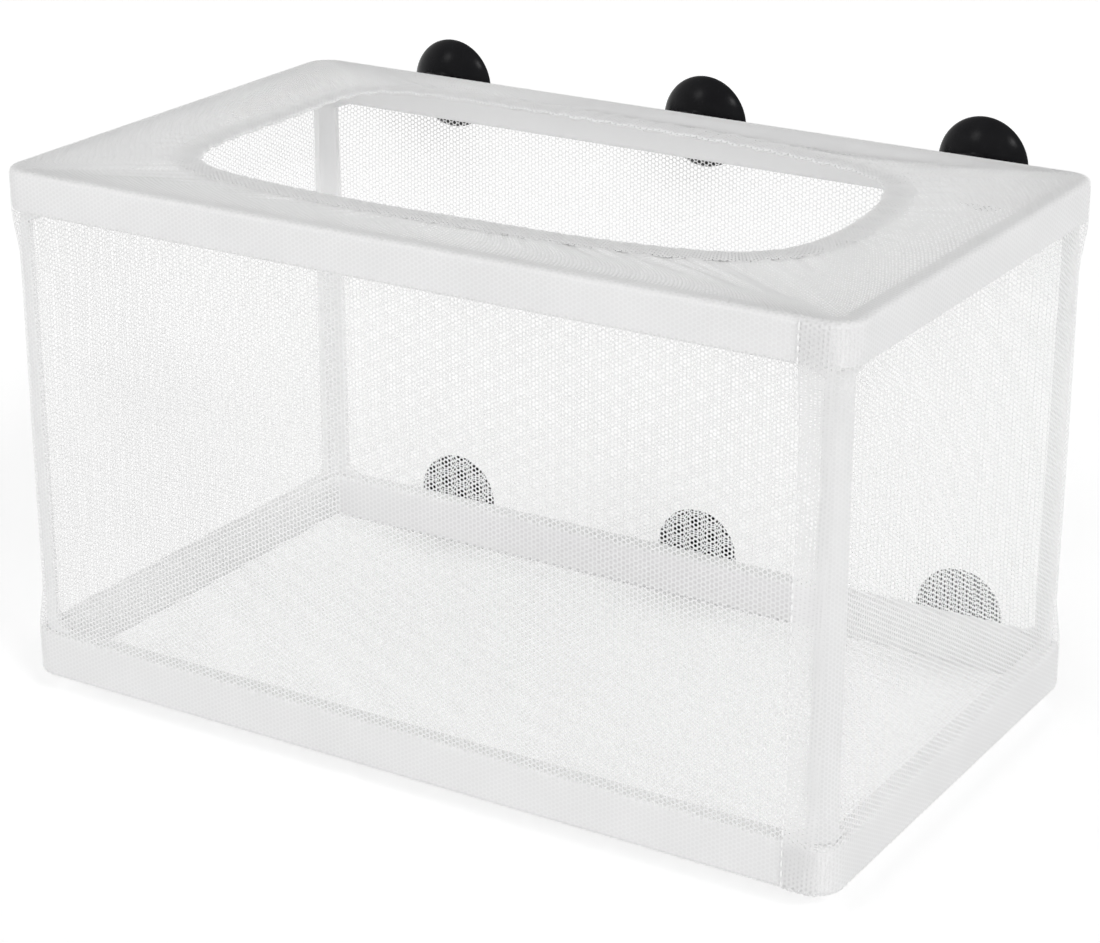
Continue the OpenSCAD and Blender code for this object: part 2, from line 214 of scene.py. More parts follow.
def gatherMap():
    # how the rim's length is shared out along the opening's edge: partly by its sides, partly evenly
    heading = np.unwrap(np.arctan2(loopOut[:, 1], loopOut[:, 0]))
    corner = [float(np.interp(math.radians(a), heading, edgeAt)) for a in (-45, 45, 135, 225)]
    middle = [float(np.interp(math.radians(a), heading, edgeAt)) for a in (0, 90, 180)]
    middle = [0.0] + middle + [edgeLength]
    rim, edge = [0.0], [0.0]
    sides = [0, (turns[2] + turns[3]) / 2, around / 2, (turns[6] + turns[7]) / 2, around]
    for k in range(4):
        rim += [cornerMiddles[k], sides[k + 1]]
        edge += [corner[k], middle[k + 1]]
    at = np.linspace(0, around, int(around) + 1)
    bySides = np.interp(at, rim, edge)
    evenly = at / around * edgeLength
    drift = opening["bySides"] * (bySides - evenly)
    blend = opening["gatherBlend"]
    ends = blend // 2
    drift = np.r_[drift[-ends - 1:-1], drift, drift[1:ends + 1]]
    drift = np.convolve(drift, np.ones(blend) / blend, mode="valid")
    return at, evenly + drift


rimAt, rimEdge = gatherMap()


def edgeOf(s):
    # the place along the opening's edge that a place round the rim is gathered to
    return np.interp(np.mod(s, around), rimAt, rimEdge)


def gatherWave(phase):
    # the fine gathers, uneven round the opening; phase is the angle round its edge
    return np.sin(opening["gathers"] * phase + 1.2 * np.sin(9 * phase)) * (0.6 + 0.4 * np.sin(23 * phase + 1))


def puckerWave(phase):
    # the coarser puckers of the hem
    return np.sin(61 * phase + 2.1 * np.sin(7 * phase + 2))


# the cover: a curve from the rim in to the hem for each place round the rim
cover = {
    # folds: place round the rim, half width, height, where along its way in it starts and ends, slant
    "folds": [
        (96, 4.6, -0.44, 0.45, 1.0, 16), (104, 3.6, 0.40, 0.40, 1.0, 16), (112, 4.0, -0.48, 0.30, 1.0, 15),
        (119, 3.2, 0.38, 0.30, 1.0, 12), (126, 3.6, -0.40, 0.25, 0.95, 9), (134, 3.8, 0.34, 0.20, 1.0, 2),
        (142, 4.4, -0.34, 0.20, 1.0, -4), (84, 4.5, 0.38, 0.50, 1.0, 12), (68, 5.0, -0.34, 0.55, 1.0, 9),
        (52, 4.0, 0.35, 0.5, 1.0, 6), (28, 5.0, -0.23, 0.5, 1.0, 3), (5, 4.0, 0.18, 0.5, 1.0, 0),
        (157, 5.0, 0.23, 0.3, 1.0, -6), (176, 6.0, -0.23, 0.4, 1.0, -5), (205, 6.0, 0.2, 0.4, 1.0, 0),
        (240, 5.0, -0.23, 0.35, 1.0, 6), (262, 4.0, 0.27, 0.2, 1.0, 10), (274, 4.0, -0.27, 0.15, 1.0, 6),
        (286, 4.0, 0.27, 0.15, 1.0, 0), (300, 5.0, -0.27, 0.25, 1.0, -8), (322, 5.0, 0.23, 0.4, 1.0, -10),
        (350, 5.0, -0.23, 0.4, 1.0, -6), (385, 6.0, 0.23, 0.4, 1.0, -3), (430, 5.0, -0.23, 0.4, 1.0, 0),
        (463, 5.0, 0.23, 0.4, 1.0, 4), (498, 5.0, -0.27, 0.35, 1.0, 9), (522, 4.5, 0.27, 0.25, 1.0, 10),
        (540, 4.0, -0.27, 0.15, 1.0, 4), (553, 4.0, 0.23, 0.15, 1.0, -4), (572, 5.0, -0.23, 0.3, 1.0, -8),
        (604, 6.0, 0.23, 0.4, 1.0, -5), (640, 5.0, -0.23, 0.4, 1.0, 2), (668, 4.5, 0.23, 0.3, 1.0, 7),
        (682, 4.0, -0.27, 0.15, 1.0, 5), (696, 4.0, 0.27, 0.12, 1.0, 0), (710, 4.5, -0.27, 0.2, 1.0, -7),
        (730, 5.0, 0.23, 0.4, 1.0, -9), (760, 5.0, -0.23, 0.5, 1.0, -6), (795, 5.0, 0.18, 0.5, 1.0, -3)],
    "fineGather": 0.28,  # height of the fine gathers at the hem
    "squareRun": 55,     # past this length from a corner the gathers leave the rim square
    "firstPull": 0.42,   # share of the way in over which they keep that heading
    "dish": 1.3,         # over 1 the cover falls towards the hem late
    "overHem": 0.1,      # height of its end over the hem's middle
    "foldRise": 0.3, "foldFade": 0.25,    # shares of the way in over which a fold rises and dies away
    "foldNarrows": 0.35,                  # share of its width that a fold has lost at the hem
    "gatherFrom": 0.45,                   # share of the way in at which the fine gathers set in
}
# how finely the cover is worked out, along its way in and round the rim
curveSteps = 49
curveAt = np.linspace(0, around, 1651)


def coverCurves():
    s = curveAt[:, None]
    t = np.linspace(0, 1, curveSteps)[None, :]
    x0, y0, nx, ny = outline(s, bag["edgeRadius"])
    x1, y1 = edgePoint(edgeOf(s), opening["hemWidth"])
    far = np.hypot(x1 - x0, y1 - y0)
    square = smooth(fromCorner(s) / cover["squareRun"])
    dx = square * -nx + (1 - square) * (x1 - x0) / far
    dy = square * -ny + (1 - square) * (y1 - y0) / far
    first = far * cover["firstPull"]
    cx, cy = x0 + dx * first, y0 + dy * first
    x = (1 - t) ** 2 * x0 + 2 * t * (1 - t) * cx + t * t * x1
    y = (1 - t) ** 2 * y0 + 2 * t * (1 - t) * cy + t * t * y1
    rim = bag["height"] - bag["clothInset"]
    z = rim - (rim - hemHeight(edgeOf(s)) - cover["overHem"]) * t ** cover["dish"]
    for place, half, high, start, end, slant in cover["folds"]:
        off = s - place + slant * t
        off = off - around * np.round(off / around)
        rising = smooth((t - start) / cover["foldRise"])
        fading = smooth((end + cover["foldFade"] - t) / cover["foldFade"])
        window = rising * fading
        z = z + high * window * np.exp(-(off / (half * (1 - cover["foldNarrows"] * t))) ** 2)
    phase = edgeOf(s) / edgeLength * 2 * math.pi
    gathered = smooth((t - cover["gatherFrom"]) / (1 - cover["gatherFrom"]))
    z = z + cover["fineGather"] * gatherWave(phase) * gathered
    step = np.sqrt(np.diff(x, axis=1) ** 2 + np.diff(y, axis=1) ** 2)
    along = np.concatenate([np.zeros((len(curveAt), 1)), np.cumsum(step, axis=1)], axis=1)
    return x, y, z, along


curveX, curveY, curveZ, curveAlong = coverCurves()
coverReach = curveAlong[:, -1]


def coverPoint(s, w):
    # w: length in from the rim along the cover; beyond the curve's end it runs straight on under the hem
    at = np.mod(s, around) / around * (len(curveAt) - 1)
    low = np.minimum(at.astype(int), len(curveAt) - 2)
    part = at - low
    reach = coverReach[low] * (1 - part) + coverReach[low + 1] * part
    t = w / reach
    k = np.clip(t * (curveSteps - 1), 0, curveSteps - 1 - 1e-6)
    below = k.astype(int)
    rest = k - below
    result = []
    for grid in (curveX, curveY, curveZ):
        a = grid[low, below] * (1 - part) + grid[low + 1, below] * part
        b = grid[low, below + 1] * (1 - part) + grid[low + 1, below + 1] * part
        result.append(a * (1 - rest) + b * rest)
    over = np.maximum(w - reach, 0)
    if np.any(over > 0):
        e = edgeOf(s)
        xa, ya = edgePoint(e, opening["hemWidth"])
        xb, yb = edgePoint(e, opening["hemWidth"] - 1)
        result[0] = result[0] + (xb - xa) * over
        result[1] = result[1] + (yb - ya) * over
    return inPlace(*result)


def bagPoint(s, v):
    # the whole skin: the wall up to the rim, then the cover
    wall = wallPoint(s, np.minimum(v, wallUp))
    top = coverPoint(s, np.maximum(v - wallUp, 0))
    return np.where((v > wallUp)[..., None], top, wall)


# the net itself: six-sided openings, knitted in columns
net = {
    "columns": 680,            # round the whole bag
    "row": 1.4013,
    "thread": 0.36,            # front and back walls
    "sideThread": 0.46,        # the two short walls
    "coverThread": 0.74,
    "coverRise": 0.17,         # height of a thread's ridge on the cover
    "floorSag": 0.25,
    "tighten": 0.6,            # how much wider the threads are drawn where the cover is gathered
    "tightenRun": 30,          # length in from the rim over which they get there
    "underHem": 0.9,           # how far the cover runs on under the hem
    "cupHole": 3.5,            # radius of the hole that lets a cup's neck through
}
columnStep = around / net["columns"]
cupNames = [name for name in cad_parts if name.startswith("suction_cup")]


def cupAxis(name):
    # across and up, in the frame's millimetres
    low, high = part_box(name)
    return (low.x + high.x) / 2 / mm, (low.z + high.z) / 2 / mm


def makePiece(name, points, faces, flat=None, smoothFaces=False):
    # points in metres, faces of four corners, or three with -1 as the last
    # flat: each point's place on the flat cloth
    mesh = bpy.data.meshes.new(name)
    counts = np.where(faces[:, 3] < 0, 3, 4)
    corners = faces[faces >= 0]
    mesh.vertices.add(len(points))
    mesh.vertices.foreach_set("co", points.astype(np.float32).ravel())
    mesh.loops.add(len(corners))
    mesh.loops.foreach_set("vertex_index", corners.astype(np.int32))
    mesh.polygons.add(len(faces))
    mesh.polygons.foreach_set("loop_start", np.r_[0, np.cumsum(counts)[:-1]].astype(np.int32))
    mesh.polygons.foreach_set("use_smooth", np.full(len(faces), smoothFaces))
    mesh.update(calc_edges=True)
    if flat is not None:
        low, high = flat.min(0), flat.max(0)
        place = (flat - low) / (high - low).max()
        layer = mesh.uv_layers.new(name="OFBake")
        layer.data.foreach_set("uv", place[corners].astype(np.float32).ravel())
    mesh.validate()
    piece = bpy.data.objects.new(name, mesh)
    bpy.context.collection.objects.link(piece)
    return piece


def knit(name, columns, rows, place, thread, keep=None, widen=None, rise=0.0, row=None, shift=(0, 0)):
    # place: the surface that the net lies on; keep: which points stay; widen: threads' extra width
    # rise: height of the ridge along each thread, or 0 for flat threads
    row = row or net["row"]
    radius = columnStep / 1.5
    allRows = np.arange(rows[0] - 1, rows[1] + 2)
    i, j = np.meshgrid(np.arange(columns[0], columns[1] + 3), allRows, indexing="ij")
    s = i * columnStep + shift[0]
    v = (j + 0.5 * (i & 1)) * row + shift[1]
    arm = thread / math.sqrt(3)
    spots = [(radius, 60), (radius, 180), (radius, 300), (-radius, 0), (-radius, 120), (-radius, 240)]
    wide = np.ones_like(s) if widen is None else widen(s, v)
    flat = [(s + side + arm * wide * math.cos(math.radians(a)), v + arm * math.sin(math.radians(a)))
            for side, a in spots]
    if rise:
        flat += [(s + radius, v), (s - radius, v)]
    fs, fv = np.array([f[0] for f in flat]), np.array([f[1] for f in flat])
    points = place(fs, fv)
    number = np.arange(i.size).reshape(i.shape)
    own = np.s_[0:columns[1] - columns[0] + 1, 1:-1]
    here = number[own]
    odd = (i[own] & 1)
    ci, cj = np.meshgrid(np.arange(here.shape[0]), np.arange(1, i.shape[1] - 1), indexing="ij")
    right = number[ci + 2, cj]
    upper = number[ci + 1, np.clip(cj + odd, 0, i.shape[1] - 1)]
    lower = number[ci + 1, np.clip(cj - 1 + odd, 0, i.shape[1] - 1)]
    total = i.size

    def at(kind, cell):
        return kind * total + cell

    r60, r180, r300 = at(0, here), at(1, here), at(2, here)
    if rise:
        top = place(fs[6:], fv[6:])
        out = place(fs[6:] + 0.05, fv[6:]) - top
        up = place(fs[6:], fv[6:] + 0.05) - top
        normal = np.cross(out, up)
        normal /= np.maximum(np.linalg.norm(normal, axis=-1), 1e-9)[..., None]
        points[6:] = top + normal * rise
        mid = at(6, here)
        quads = [
            [mid, at(7, right), at(4, right), r60], [mid, r300, at(5, right), at(7, right)],
            [mid, at(7, upper), at(5, upper), r180], [mid, r60, at(3, upper), at(7, upper)],
            [mid, at(7, lower), at(3, lower), r300], [mid, r180, at(4, lower), at(7, lower)],
        ]
    else:
        quads = [
            [r300, at(5, right), at(4, right), r60],
            [r60, at(3, upper), at(5, upper), r180],
            [r180, at(4, lower), at(3, lower), r300],
        ]
        none = np.full_like(here, -1)
        quads += [[r60, r180, r300, none], [at(3, here), at(4, here), at(5, here), none]]
    faces = np.concatenate([np.stack(quad, axis=-1).reshape(-1, 4) for quad in quads])
    allFlat = np.stack([fs.reshape(-1), fv.reshape(-1)], axis=-1)
    points = points.reshape(-1, 3)
    if keep is not None:
        good = keep(allFlat[:, 0], allFlat[:, 1], points)
        faces = faces[np.all(good[np.maximum(faces, 0)] | (faces < 0), axis=1)]
    used = np.zeros(len(points), dtype=bool)
    used[faces[faces >= 0]] = True
    renumber = np.cumsum(used) - 1
    faces = np.where(faces >= 0, renumber[np.maximum(faces, 0)], -1)
    return makePiece(name, points[used] * mm, faces, allFlat[used], smoothFaces=bool(rise))


wallRows = (0, int(wallUp / net["row"]) - 1)
coverRows = (wallRows[1] + 1, wallRows[1] + 46)    # enough to reach the hem from everywhere
# the bag's columns, shared out to the four walls
wallColumns = {"front": (-108, 107), "right": (108, 231), "back": (232, 447), "left": (448, 571)}


def knitWall(side):
    thread = net["thread"] if side in ("front", "back") else net["sideThread"]

    def keep(s, v, points):
        good = v > -0.05
        if side == "back":
            for name in cupNames:
                x, z = cupAxis(name)
                good &= np.hypot(points[:, 0] - x, points[:, 2] - z) > net["cupHole"]
        return good

    return knit("net_wall_" + side, wallColumns[side], wallRows, bagPoint, thread, keep)


walls = {side: knitWall(side) for side in wallColumns}
print("walls knitted:", sum(len(w.data.polygons) for w in walls.values()), "faces")


def squeeze(s, v):
    # a thread keeps its width where the gathering brings the columns together
    w = np.clip((v - wallUp) / net["tightenRun"], 0, 1)
    return 1 + net["tighten"] * w


def knitCover():
    def keep(s, v, points):
        at = np.mod(s, around) / around * (len(curveAt) - 1)
        reach = np.interp(at, np.arange(len(curveAt)), coverReach)
        return v - wallUp < reach + net["underHem"]

    return knit("net_cover", (0, net["columns"] - 1), coverRows, bagPoint, net["coverThread"], keep, squeeze,
                rise=net["coverRise"])


netCover = knitCover()
print("cover knitted:", len(netCover.data.polygons), "faces")


def knitFloor():
    halfX, halfY = bag["halfWidth"] - bag["edgeRadius"], bag["halfDepth"] - bag["edgeRadius"]
    radius = bag["cornerRadius"] - bag["edgeRadius"]

    def place(x, y):
        across = np.cos(np.clip(x / halfX, -1, 1) * math.pi / 2)
        deep = np.cos(np.clip(y / halfY, -1, 1) * math.pi / 2)
        return inPlace(x, y, bag["clothInset"] - net["floorSag"] * across * deep)

    def keep(x, y, points):
        cornerX, cornerY = np.abs(x) - halfX + radius, np.abs(y) - halfY + radius
        inCorner = (cornerX > 0) & (cornerY > 0)
        inside = (np.abs(x) <= halfX) & (np.abs(y) <= halfY)
        return inside & (~inCorner | (np.hypot(cornerX, cornerY) <= radius))

    across, deep = int(halfX / columnStep) + 2, int(halfY / net["row"]) + 2
    return knit("net_floor_cloth", (-across, across), (-deep, deep), place, net["thread"], keep)


netFloor = knitFloor()
print("floor knitted:", len(netFloor.data.polygons), "faces")


# hem, elastic and stitches
hem = {
    "thread": 0.60, "rise": 0.14, "widen": 1.45, "row": 1.3,
    # across the hem: distance out from the opening's edge, height over the hem's middle
    "path": [(8.7, 0.34), (7.8, 0.44), (6.8, 0.54), (5.5, 0.64), (3.6, 0.70), (1.8, 0.66), (0.7, 0.48),
             (0.1, 0.0), (0.7, -0.48), (1.8, -0.66), (3.6, -0.70), (5.5, -0.62), (6.8, -0.44),
             (7.6, -0.24), (8.4, -0.16)],
    # how much the gathers thicken it and the puckers and gathers shift it sideways, less and less away from
    # the edge over this width
    "swell": 0.25, "puckerShift": 0.22, "gatherShift": 0.12, "fadeRun": 9,
    "elasticFrom": 1.2, "elasticTo": 6.0, "elasticThick": 0.9, "elasticRibs": 9, "ribHeight": 0.06,
    "stitchOut": 7.2, "stitchUp": -0.44,
}
hemPath = np.array(hem["path"])
hemPathAt = np.r_[0, np.cumsum(np.linalg.norm(np.diff(hemPath, axis=0), axis=1))]


def hemPoint(s, w):
    # w runs from the stitches in over the elastic, round the edge and back beneath
    e = edgeOf(s)
    out = np.interp(w, hemPathAt, hemPath[:, 0])
    up = np.interp(w, hemPathAt, hemPath[:, 1])
    phase = e / edgeLength * 2 * math.pi
    wave, pucker = gatherWave(phase), puckerWave(phase)
    edgeward = smooth(1 - out / hem["fadeRun"])
    up = up * (1 + hem["swell"] * wave * (0.4 + 0.6 * edgeward)) + opening["pucker"] * pucker
    out = out + (hem["puckerShift"] * pucker + hem["gatherShift"] * wave) * edgeward
    x, y = edgePoint(e, out)
    return inPlace(x, y, hemHeight(e) + up)


def knitHem():
    rows = int(hemPathAt[-1] / hem["row"])
    return knit("hem_cloth_fold", (0, net["columns"] - 1), (0, rows), hemPoint, hem["thread"],
                lambda s, w, points: (w > -0.2) & (w < hemPathAt[-1] + 0.2),
                lambda s, w: hem["widen"] + 0 * s, rise=hem["rise"], row=hem["row"])


hemFold = knitHem()
print("hem knitted:", len(hemFold.data.polygons), "faces")


def sweepLoop(name, section, count):
    # a closed band along the opening's edge; section: (out, up) pairs
    section = np.array(section)
    e = np.linspace(0, edgeLength, count, endpoint=False)[:, None]
    x, y = edgePoint(e, section[None, :, 0])
    phase = e / edgeLength * 2 * math.pi
    lift = opening["pucker"] * puckerWave(phase)
    points = inPlace(x, y, hemHeight(e) + section[None, :, 1] + lift)
    n = len(section)
    i, k = np.meshgrid(np.arange(count), np.arange(n), indexing="ij")
    nextI, nextK = (i + 1) % count, (k + 1) % n
    faces = np.stack([i * n + k, i * n + nextK, nextI * n + nextK, nextI * n + k], axis=-1).reshape(-1, 4)
    flat = np.stack(np.broadcast_arrays(e, np.arange(n)[None, :] * 1.1), axis=-1)
    return makePiece(name, points.reshape(-1, 3) * mm, faces, flat.reshape(-1, 2), smoothFaces=True)


def elasticSection():
    # a flat ribbon with ribs along it, above and below
    low, high, half = hem["elasticFrom"], hem["elasticTo"], hem["elasticThick"] / 2
    ribs = hem["elasticRibs"]
    top = [(low + 0.3 + (high - low - 0.6) * k / (ribs * 4),
            half + hem["ribHeight"] * math.cos(k * math.pi / 2)) for k in range(ribs * 4 + 1)]
    right = [(high, half - 0.25), (high, 0.25 - half)]
    bottom = [(x, -y) for x, y in reversed(top)]
    left = [(low, 0.25 - half), (low, half - 0.25)]
    return top + right + bottom + left


elasticBand = sweepLoop("elastic_ribbon", elasticSection(), 900)


def stitchRow(name, starts, ends, normals, half, bulge):
    # one short round stitch of thread from each start to each end, arched off the cloth
    sides, rings = 6, 6
    t = np.linspace(0, 1, rings)[None, :, None]
    line = starts[:, None] * (1 - t) + ends[:, None] * t + normals[:, None] * bulge * np.sin(math.pi * t)
    way = ends - starts
    way /= np.linalg.norm(way, axis=1)[:, None]
    across = np.cross(way, normals)
    across /= np.linalg.norm(across, axis=1)[:, None]
    angle = np.linspace(0, 2 * math.pi, sides, endpoint=False)[None, None, :, None]
    thick = half * (0.35 + 0.65 * np.sin(math.pi * t) ** 0.5)[..., None]
    ring = across[:, None, None] * np.cos(angle) + normals[:, None, None] * np.sin(angle)
    points = line[:, :, None] + ring * thick
    n, r, k = np.meshgrid(np.arange(len(starts)), np.arange(rings - 1), np.arange(sides), indexing="ij")
    a = (n * rings + r) * sides + k
    b = (n * rings + r) * sides + (k + 1) % sides
    faces = np.stack([a, b, b + sides, a + sides], axis=-1).reshape(-1, 4)
    return makePiece(name, points.reshape(-1, 3) * mm, faces, smoothFaces=True)


stitches = {
    "pitch": 2.9, "length": 2.1,
    "hemLonger": 1.08,      # the hem's seam runs outside the opening's edge, so it is longer by this
    "hemThick": 0.14, "floorThick": 0.2, "seamThick": 0.30,    # half a stitch's thickness at its middle
    "endGap": 3,            # from the seam's ends to its last stitches
}


def hemStitches():
    count = int(edgeLength * stitches["hemLonger"] / stitches["pitch"])
    e = np.linspace(0, edgeLength, count, endpoint=False)
    half = stitches["length"] / 2 / stitches["hemLonger"]

    def spot(at):
        x, y = edgePoint(at, np.full_like(at, hem["stitchOut"]))
        return inPlace(x, y, hemHeight(at) + hem["stitchUp"])

    normals = np.tile([0.0, 0.0, -1.0], (count, 1))
    return stitchRow("hem_stitches", spot(e - half), spot(e + half), normals, stitches["hemThick"],
                     bulge=0.14)


hemThread = hemStitches()


# the bag's upright seam at the front right corner, and the seam under the floor
seam = {
    "from": 117.8, "to": 128.0, "stitchAt": 118.2,    # places round the bag
    "lean": 0.045, "uprightAt": 78,                   # how far it leans for each mm, and from which height
    "thread": 0.60,
    "outside": 0.28, "stitchOutside": 0.30,           # how far outside the wall's cloth it and its stitches lie
    "shift": (0.6, 0.7),                              # its openings don't lie on the wall's
    "floorInset": 5.0,
}


def knitSeam():
    # the wall's net, turned over and sewn down again beside the seam
    first, last = int(seam["from"] / columnStep), int(seam["to"] / columnStep)

    def turnedOver(s, v):
        return seam["from"] + seam["to"] - s + seam["lean"] * (v - seam["uprightAt"])

    def leaning(s, v):
        return wallPoint(turnedOver(s, v), np.clip(v, 0, wallUp), lining=-seam["outside"])

    def keep(s, v, points):
        own = turnedOver(s, v)
        return (own > seam["from"]) & (own < seam["to"]) & (v > 0.4) & (v < wallUp - 0.2)

    return knit("seam_allowance", (first - 5, last + 6), (0, wallRows[1]), leaning, seam["thread"], keep,
                shift=seam["shift"])


seamStrip = knitSeam()


def seamStitches():
    count = int((wallUp - 4) / stitches["pitch"])
    v = np.linspace(stitches["endGap"], wallUp - stitches["endGap"], count)
    s = np.full_like(v, seam["stitchAt"])
    half, lining = stitches["length"] / 2, -seam["stitchOutside"]
    normals = np.tile([0.0, -1.0, 0.0], (count, 1))
    return stitchRow("seam_stitches", wallPoint(s, v - half, lining), wallPoint(s, v + half, lining),
                     normals, stitches["seamThick"], bulge=0.16)


seamThread = seamStitches()


def floorStitches():
    inset = seam["floorInset"]
    count = int((around - 8 * inset) / stitches["pitch"])
    s = np.linspace(0, around, count, endpoint=False)

    def spot(at):
        x, y, _, _ = outline(at, inset)
        return inPlace(x, y, np.full_like(at, 0.12))

    half = stitches["length"] / 2
    normals = np.tile([0.0, 0.0, -1.0], (count, 1))
    return stitchRow("floor_stitches", spot(s - half), spot(s + half), normals, stitches["floorThick"],
                     bulge=0.12)


floorThread = floorStitches()
print("hem, elastic and stitches made")


# the posts: an angle section of full width in the joints' sockets, slimmer and slightly tapered between
post = {
    "leg": 11.0, "wall": 2.2, "cornerRadius": 5.88,
    "slimFoot": 6.7, "slimTop": 5.9,    # width of a leg just over the bottom ring and just under the top one
    "inSocket": 10.4, "shoulder": 2.2,
    "edgeRadius": 0.5,
}


def postSection(leg):
    # pairs of an outer and an inner point, from the end of one leg round the corner to the end of the other
    wall, edge = post["wall"], post["edgeRadius"]
    radius = min(post["cornerRadius"], leg - edge - 0.1)
    part = edge * 0.3
    legEnd = [((leg, edge), (leg, wall - edge)), ((leg - part, part), (leg - part, wall - part)),
              ((leg - edge, 0), (leg - edge, wall))]
    bend = []
    for turn in np.radians(np.linspace(0, 90, 13)):
        bend.append(tuple((radius - r * math.sin(turn), radius - r * math.cos(turn))
                          for r in (radius, radius - wall)))
    otherEnd = [tuple((b, a) for a, b in pair) for pair in reversed(legEnd)]
    return np.array(legEnd + bend + otherEnd)


def shapePost(name):
    low, high = (np.array(corner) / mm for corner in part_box(name))
    right, back = "right" in name, "back" in name
    height = high[2] - low[2]
    start, slim = post["inSocket"], post["inSocket"] + post["shoulder"]
    ease = np.linspace(0, 1, 7)
    up = np.r_[0, start + (slim - start) * ease, height - slim + (slim - start) * ease, height]
    climb = np.clip((up - slim) / (height - 2 * slim), 0, 1)
    taper = post["slimFoot"] + (post["slimTop"] - post["slimFoot"]) * climb
    full = np.r_[1, 1 - smooth(ease), smooth(ease), 1]
    legs = taper + (post["leg"] - taper) * full
    rings = []
    for at, leg in zip(up, legs):
        pairs = postSection(leg)
        ring = np.concatenate([pairs[:, 0], pairs[::-1, 1]])
        x = high[0] - ring[:, 0] if right else low[0] + ring[:, 0]
        y = high[1] - ring[:, 1] if back else low[1] + ring[:, 1]
        rings.append(np.stack([x, y, np.full(len(ring), low[2] + at)], axis=-1))
    n = len(rings[0])
    i, k = np.meshgrid(np.arange(len(rings) - 1), np.arange(n), indexing="ij")
    nextK = (k + 1) % n
    skin = np.stack([i * n + k, (i + 1) * n + k, (i + 1) * n + nextK, i * n + nextK], axis=-1)
    skin = skin.reshape(-1, 4)
    k = np.arange(n // 2 - 1)
    foot = np.stack([k, k + 1, n - 2 - k, n - 1 - k], axis=-1)
    top = foot[:, ::-1] + (len(rings) - 1) * n
    faces = np.concatenate([skin, foot, top])
    if right != back:
        faces = faces[:, ::-1]
    piece = makePiece("angle_" + name, np.concatenate(rings) * mm, faces, smoothFaces=True)
    piece.data.set_sharp_from_angle(angle=math.radians(40))
    return piece


posts = {name: shapePost(name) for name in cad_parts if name.startswith("post_")}
print("posts shaped:", len(posts))


# the suction cups, each turned about its own axis
cup = {
    "rim": 13.9, "glass": 15.0,     # radius of the lip, and how far the glass is from the rail's face
    "domeDepth": 7.0, "hollowRim": 13.3, "hollowDepth": 6.1,
    "fullness": 0.75,               # under 1 the dome is fuller, over 1 it is pointed
    "head": 4.1, "neck": 3.0, "collar": 6.0, "stem": 3.5,
    "around": 72,
}


def cupProfile():
    # half section as (radius, distance from the rail's face): the head inside the rail, the neck in its
    # hole, the collar against it, the stem, the dome with its lip, and the hollow that holds to the glass
    def bowl(top, rim, depth, r):
        return top - depth * (1 - np.clip(r / rim, 0, 1) ** 2) ** cup["fullness"]

    domeTop = cup["glass"] - 0.7
    head, neck, collar, stem = cup["head"], cup["neck"], cup["collar"], cup["stem"]
    points = [(0, -4.15), (head - 1.0, -4.15), (head - 0.3, -3.9), (head, -3.3), (head, -2.4),
              (head - 0.3, -1.9), (head - 0.8, -1.75), (neck, -1.7), (neck, 0.8),
              (neck + 0.3, 0.86), (collar - 0.6, 0.86), (collar - 0.15, 1.0), (collar, 1.5), (collar, 2.2),
              (collar - 0.15, 2.65), (collar - 0.7, 2.86),
              (stem + 0.7, 2.9), (stem + 0.15, 3.2), (stem, 3.9), (stem, 6.2), (stem + 0.2, 6.9)]
    out = np.sin(np.linspace(0.35, math.pi / 2, 30)) * cup["rim"]
    points += list(zip(out, bowl(domeTop, cup["rim"], cup["domeDepth"], out)))
    points += [(cup["rim"] + 0.08, domeTop + 0.2), (cup["rim"] + 0.08, domeTop + 0.45)]
    points += [(cup["rim"] - 0.1, cup["glass"])]
    inward = np.sin(np.linspace(math.pi / 2, 0, 30)) * cup["hollowRim"]
    points += list(zip(inward, bowl(cup["glass"], cup["hollowRim"], cup["hollowDepth"], inward)))
    return np.array(points)


def turnCup(name):
    profile = cupProfile()
    angle = np.linspace(0, 2 * math.pi, cup["around"], endpoint=False)[:, None]
    radius, along = profile[None, 1:-1, 0], profile[None, 1:-1, 1]
    x, z = cupAxis(name)
    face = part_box(name)[1].y / mm - cup["glass"]
    ring = np.stack([x + radius * np.cos(angle), face + along + 0 * angle,
                     z + radius * np.sin(angle)], axis=-1)
    n, count = ring.shape[1], ring.shape[0]
    ends = np.array([[x, face + profile[k, 1], z] for k in (0, -1)])
    points = np.concatenate([ring.reshape(-1, 3), ends])
    i, k = np.meshgrid(np.arange(count), np.arange(n - 1), indexing="ij")
    nextI = (i + 1) % count
    skin = np.stack([i * n + k, nextI * n + k, nextI * n + k + 1, i * n + k + 1], axis=-1)
    skin = skin.reshape(-1, 4)
    i, nextI = np.arange(count), (np.arange(count) + 1) % count
    none = np.full(count, -1)
    first = np.stack([np.full(count, count * n), nextI * n, i * n, none], axis=-1)
    last = np.stack([np.full(count, count * n + 1), i * n + n - 1, nextI * n + n - 1, none], axis=-1)
    faces = np.concatenate([skin, first, last])
    return makePiece("cup_" + name.replace("suction_cup_", ""), points * mm, faces, smoothFaces=True)


cups = {name: turnCup(name) for name in cupNames}
print("cups turned:", len(cups))


# materials
def newMaterial(name, colour, roughness, **fixed):
    material = bpy.data.materials.new(name)
    material.use_nodes = True
    shader = material.node_tree.nodes["Principled BSDF"]
    shader.inputs["Base Color"].default_value = (*colour, 1)
    shader.inputs["Roughness"].default_value = roughness
    for key, value in fixed.items():
        shader.inputs[key.replace("_", " ")].default_value = value
    material.diffuse_color = (*colour, 1)
    return material, material.node_tree, shader


def addNode(tree, kind, **values):
    node = tree.nodes.new(kind)
    for key, value in values.items():
        if key in node.inputs:
            node.inputs[key].default_value = value
        else:
            setattr(node, key, value)
    return node


